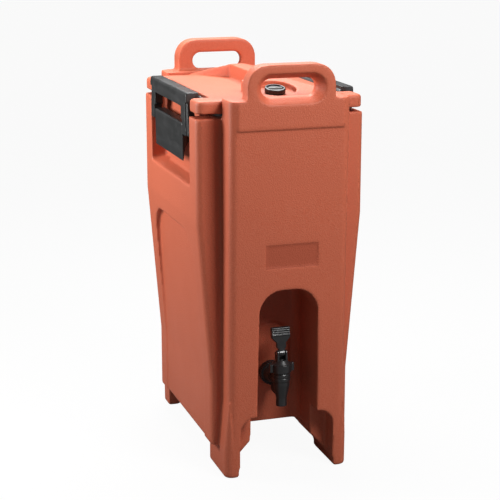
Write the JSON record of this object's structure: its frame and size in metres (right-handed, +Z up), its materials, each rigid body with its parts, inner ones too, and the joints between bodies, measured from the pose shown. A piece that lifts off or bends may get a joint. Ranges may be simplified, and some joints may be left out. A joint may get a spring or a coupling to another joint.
{
  "type": "insulated beverage dispenser",
  "caption": "Tall insulated drinks container with a latched lid, two carrying handles and a push-lever faucet in an arched bay.",
  "frame": {"origin": "on the floor under the middle of the body", "axes": "+Z up along the height, the faucet faces -Y, +X to the right seen from the faucet"},
  "size_m": [0.262, 0.397, 0.622],
  "materials": {
    "shell_plastic": "pebble-grained moulded polyethylene, brick coral",
    "liner_plastic": "smooth moulded polyethylene",
    "foam": "rigid polyurethane foam",
    "seal_rubber": "matt black seal rubber",
    "latch_nylon": "satin black moulded nylon",
    "faucet_plastic": "glossy black moulded plastic",
    "pin_steel": "stainless steel"
  },
  "bodies": {
    "container": {"outer_shell": "shell_plastic", "inner_liner": "liner_plastic", "foam_core": "foam", "faucet_body": "faucet_plastic", "faucet_gasket_outer": "seal_rubber", "faucet_gasket_inner": "seal_rubber", "shank_nut": "faucet_plastic", "faucet_bonnet": "faucet_plastic", "handle_pin": "pin_steel"},
    "lid": {"lid_shell": "shell_plastic", "lid_liner": "liner_plastic", "lid_foam": "foam", "lid_gasket": "seal_rubber", "vent_cap_seal": "seal_rubber", "latch_hinge_pin_left": "pin_steel", "latch_hinge_pin_right": "pin_steel"},
    "vent": {"vent_cap": "faucet_plastic"},
    "left_latch": {"latch_frame_left": "latch_nylon", "latch_lever_pins_left": "pin_steel"},
    "right_latch": {"latch_frame_right": "latch_nylon", "latch_lever_pins_right": "pin_steel"},
    "left_lever": {"latch_lever_left": "latch_nylon"},
    "right_lever": {"latch_lever_right": "latch_nylon"},
    "tap_handle": {"faucet_handle": "faucet_plastic"},
    "tap_valve": {"valve_stem": "pin_steel", "valve_cup": "seal_rubber"}
  },
  "joints": [
    {"name": "lid_lift", "type": "slide", "parent": "container", "child": "lid", "axis": [0, 0, 1], "range_m": [0, 0.18]},
    {"name": "vent_cap_turn", "type": "hinge", "parent": "lid", "child": "vent", "pos_m": [0.004, -0.11, 0.57], "axis": [0, -0.2079, 0.9781], "range_deg": [0, 90]},
    {"name": "left_latch_swing", "type": "hinge", "parent": "lid", "child": "left_latch", "pos_m": [-0.108, 0, 0.565], "axis": [0, 1, 0], "range_deg": [0, 80]},
    {"name": "right_latch_swing", "type": "hinge", "parent": "lid", "child": "right_latch", "pos_m": [0.108, 0, 0.565], "axis": [0, -1, 0], "range_deg": [0, 80]},
    {"name": "left_lever_pull", "type": "hinge", "parent": "left_latch", "child": "left_lever", "pos_m": [-0.122, 0, 0.517], "axis": [0, 1, 0], "range_deg": [0, 70]},
    {"name": "right_lever_pull", "type": "hinge", "parent": "right_latch", "child": "right_lever", "pos_m": [0.122, 0, 0.517], "axis": [0, -1, 0], "range_deg": [0, 70]},
    {"name": "tap_handle_pull", "type": "hinge", "parent": "container", "child": "tap_handle", "pos_m": [0, -0.158, 0.182], "axis": [1, 0, 0], "range_deg": [0, 60]},
    {"name": "tap_valve_lift", "type": "slide", "parent": "container", "child": "tap_valve", "axis": [0, 0, 1], "range_m": [0, 0.0041]}
  ],
  "couplings": [
    {"joint": "tap_valve_lift", "follows": "tap_handle_pull", "m_per_rad": 0.0038}
  ]
}
